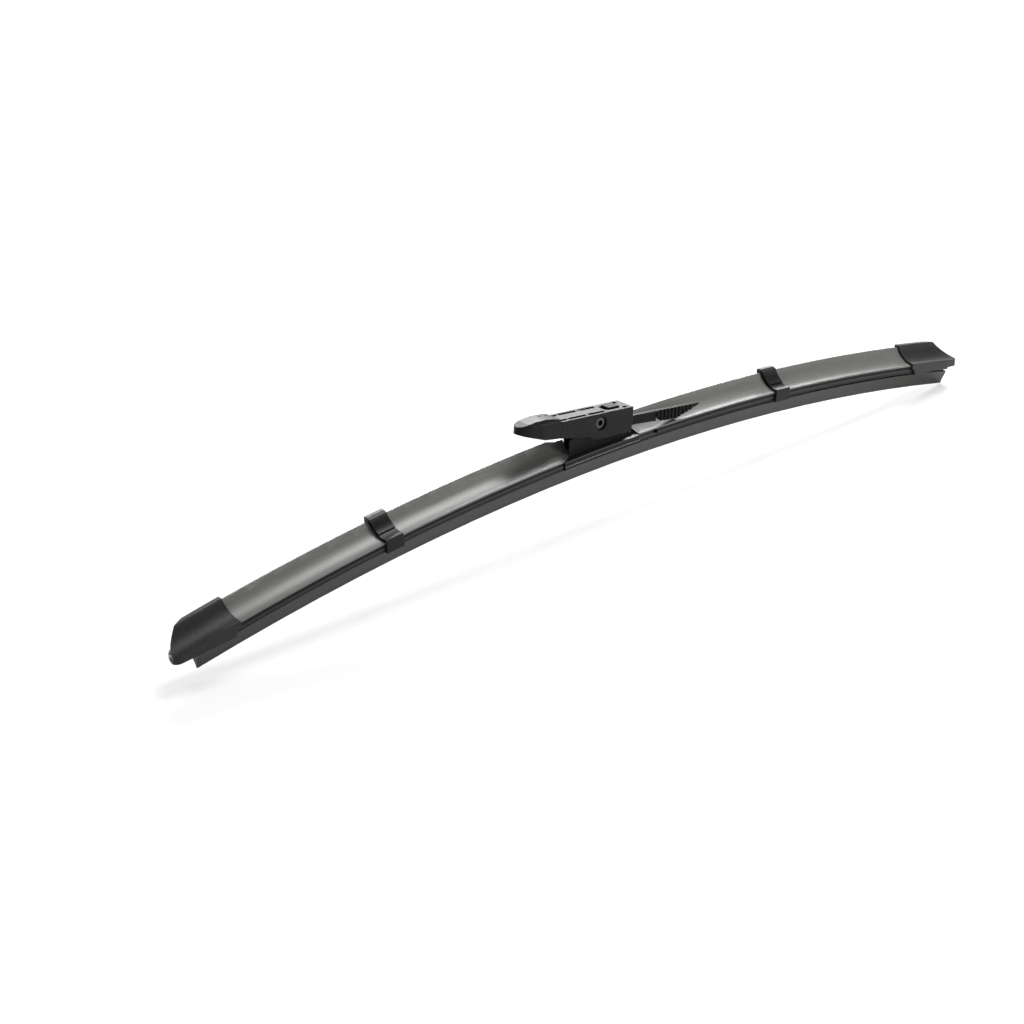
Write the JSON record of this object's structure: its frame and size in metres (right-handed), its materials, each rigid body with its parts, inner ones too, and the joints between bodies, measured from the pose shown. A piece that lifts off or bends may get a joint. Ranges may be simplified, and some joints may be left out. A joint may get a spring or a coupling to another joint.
{
  "type": "wiper blade",
  "caption": "Flat beam wiper blade with a two-part spoiler, end caps, middle clips and a pivoting arm adaptor with a release lever.",
  "frame": {"origin": "centre of the tubular pivot, on its axis", "axes": "+X along the blade towards the release lever's end, +Y towards the spoiler's crest, along the pivot, +Z away from the glass"},
  "size_m": [0.5318, 0.015, 0.0647],
  "materials": {
    "rubber_black": "matt black rubber",
    "rail_steel": "dark coated spring steel",
    "spoiler_black": "satin dark grey-black with fine lengthwise streaks",
    "cap_black": "satin black",
    "clip_black": "satin black",
    "base_black": "semi-gloss black coat",
    "bracket_black": "satin black",
    "rivet_steel": "dull steel",
    "tube_steel": "dark steel",
    "sleeve_plastic": "plain pale plastic",
    "adaptor_black": "satin black, glossy at its rounded edges",
    "lever_black": "satin black"
  },
  "bodies": {
    "blade": {"wiper_rubber": "rubber_black", "front_rail": "rail_steel", "rear_rail": "rail_steel", "spoiler_left": "spoiler_black", "spoiler_right": "spoiler_black", "end_cap_left": "cap_black", "end_cap_right": "cap_black", "mid_clip_left": "clip_black", "mid_clip_right": "clip_black", "base_saddle": "base_black", "pivot_bracket": "bracket_black", "bracket_rivets": "rivet_steel", "pivot_tube": "tube_steel", "pivot_sleeve": "sleeve_plastic"},
    "adaptor": {"adaptor_body": "adaptor_black", "adaptor_head": "adaptor_black"},
    "lever": {"release_lever": "lever_black"}
  },
  "joints": [
    {"name": "adaptor_pivot", "type": "hinge", "parent": "blade", "child": "adaptor", "pos_m": [0, 0, 0], "axis": [0, 1, 0], "range_deg": [-10, 0]},
    {"name": "lever_lift", "type": "hinge", "parent": "adaptor", "child": "lever", "pos_m": [0.01723, 0, -0.00341], "axis": [0, 1, 0], "range_deg": [-8, 0], "stiffness_Nm_per_rad": 0.2, "springref_deg": 5.73}
  ]
}
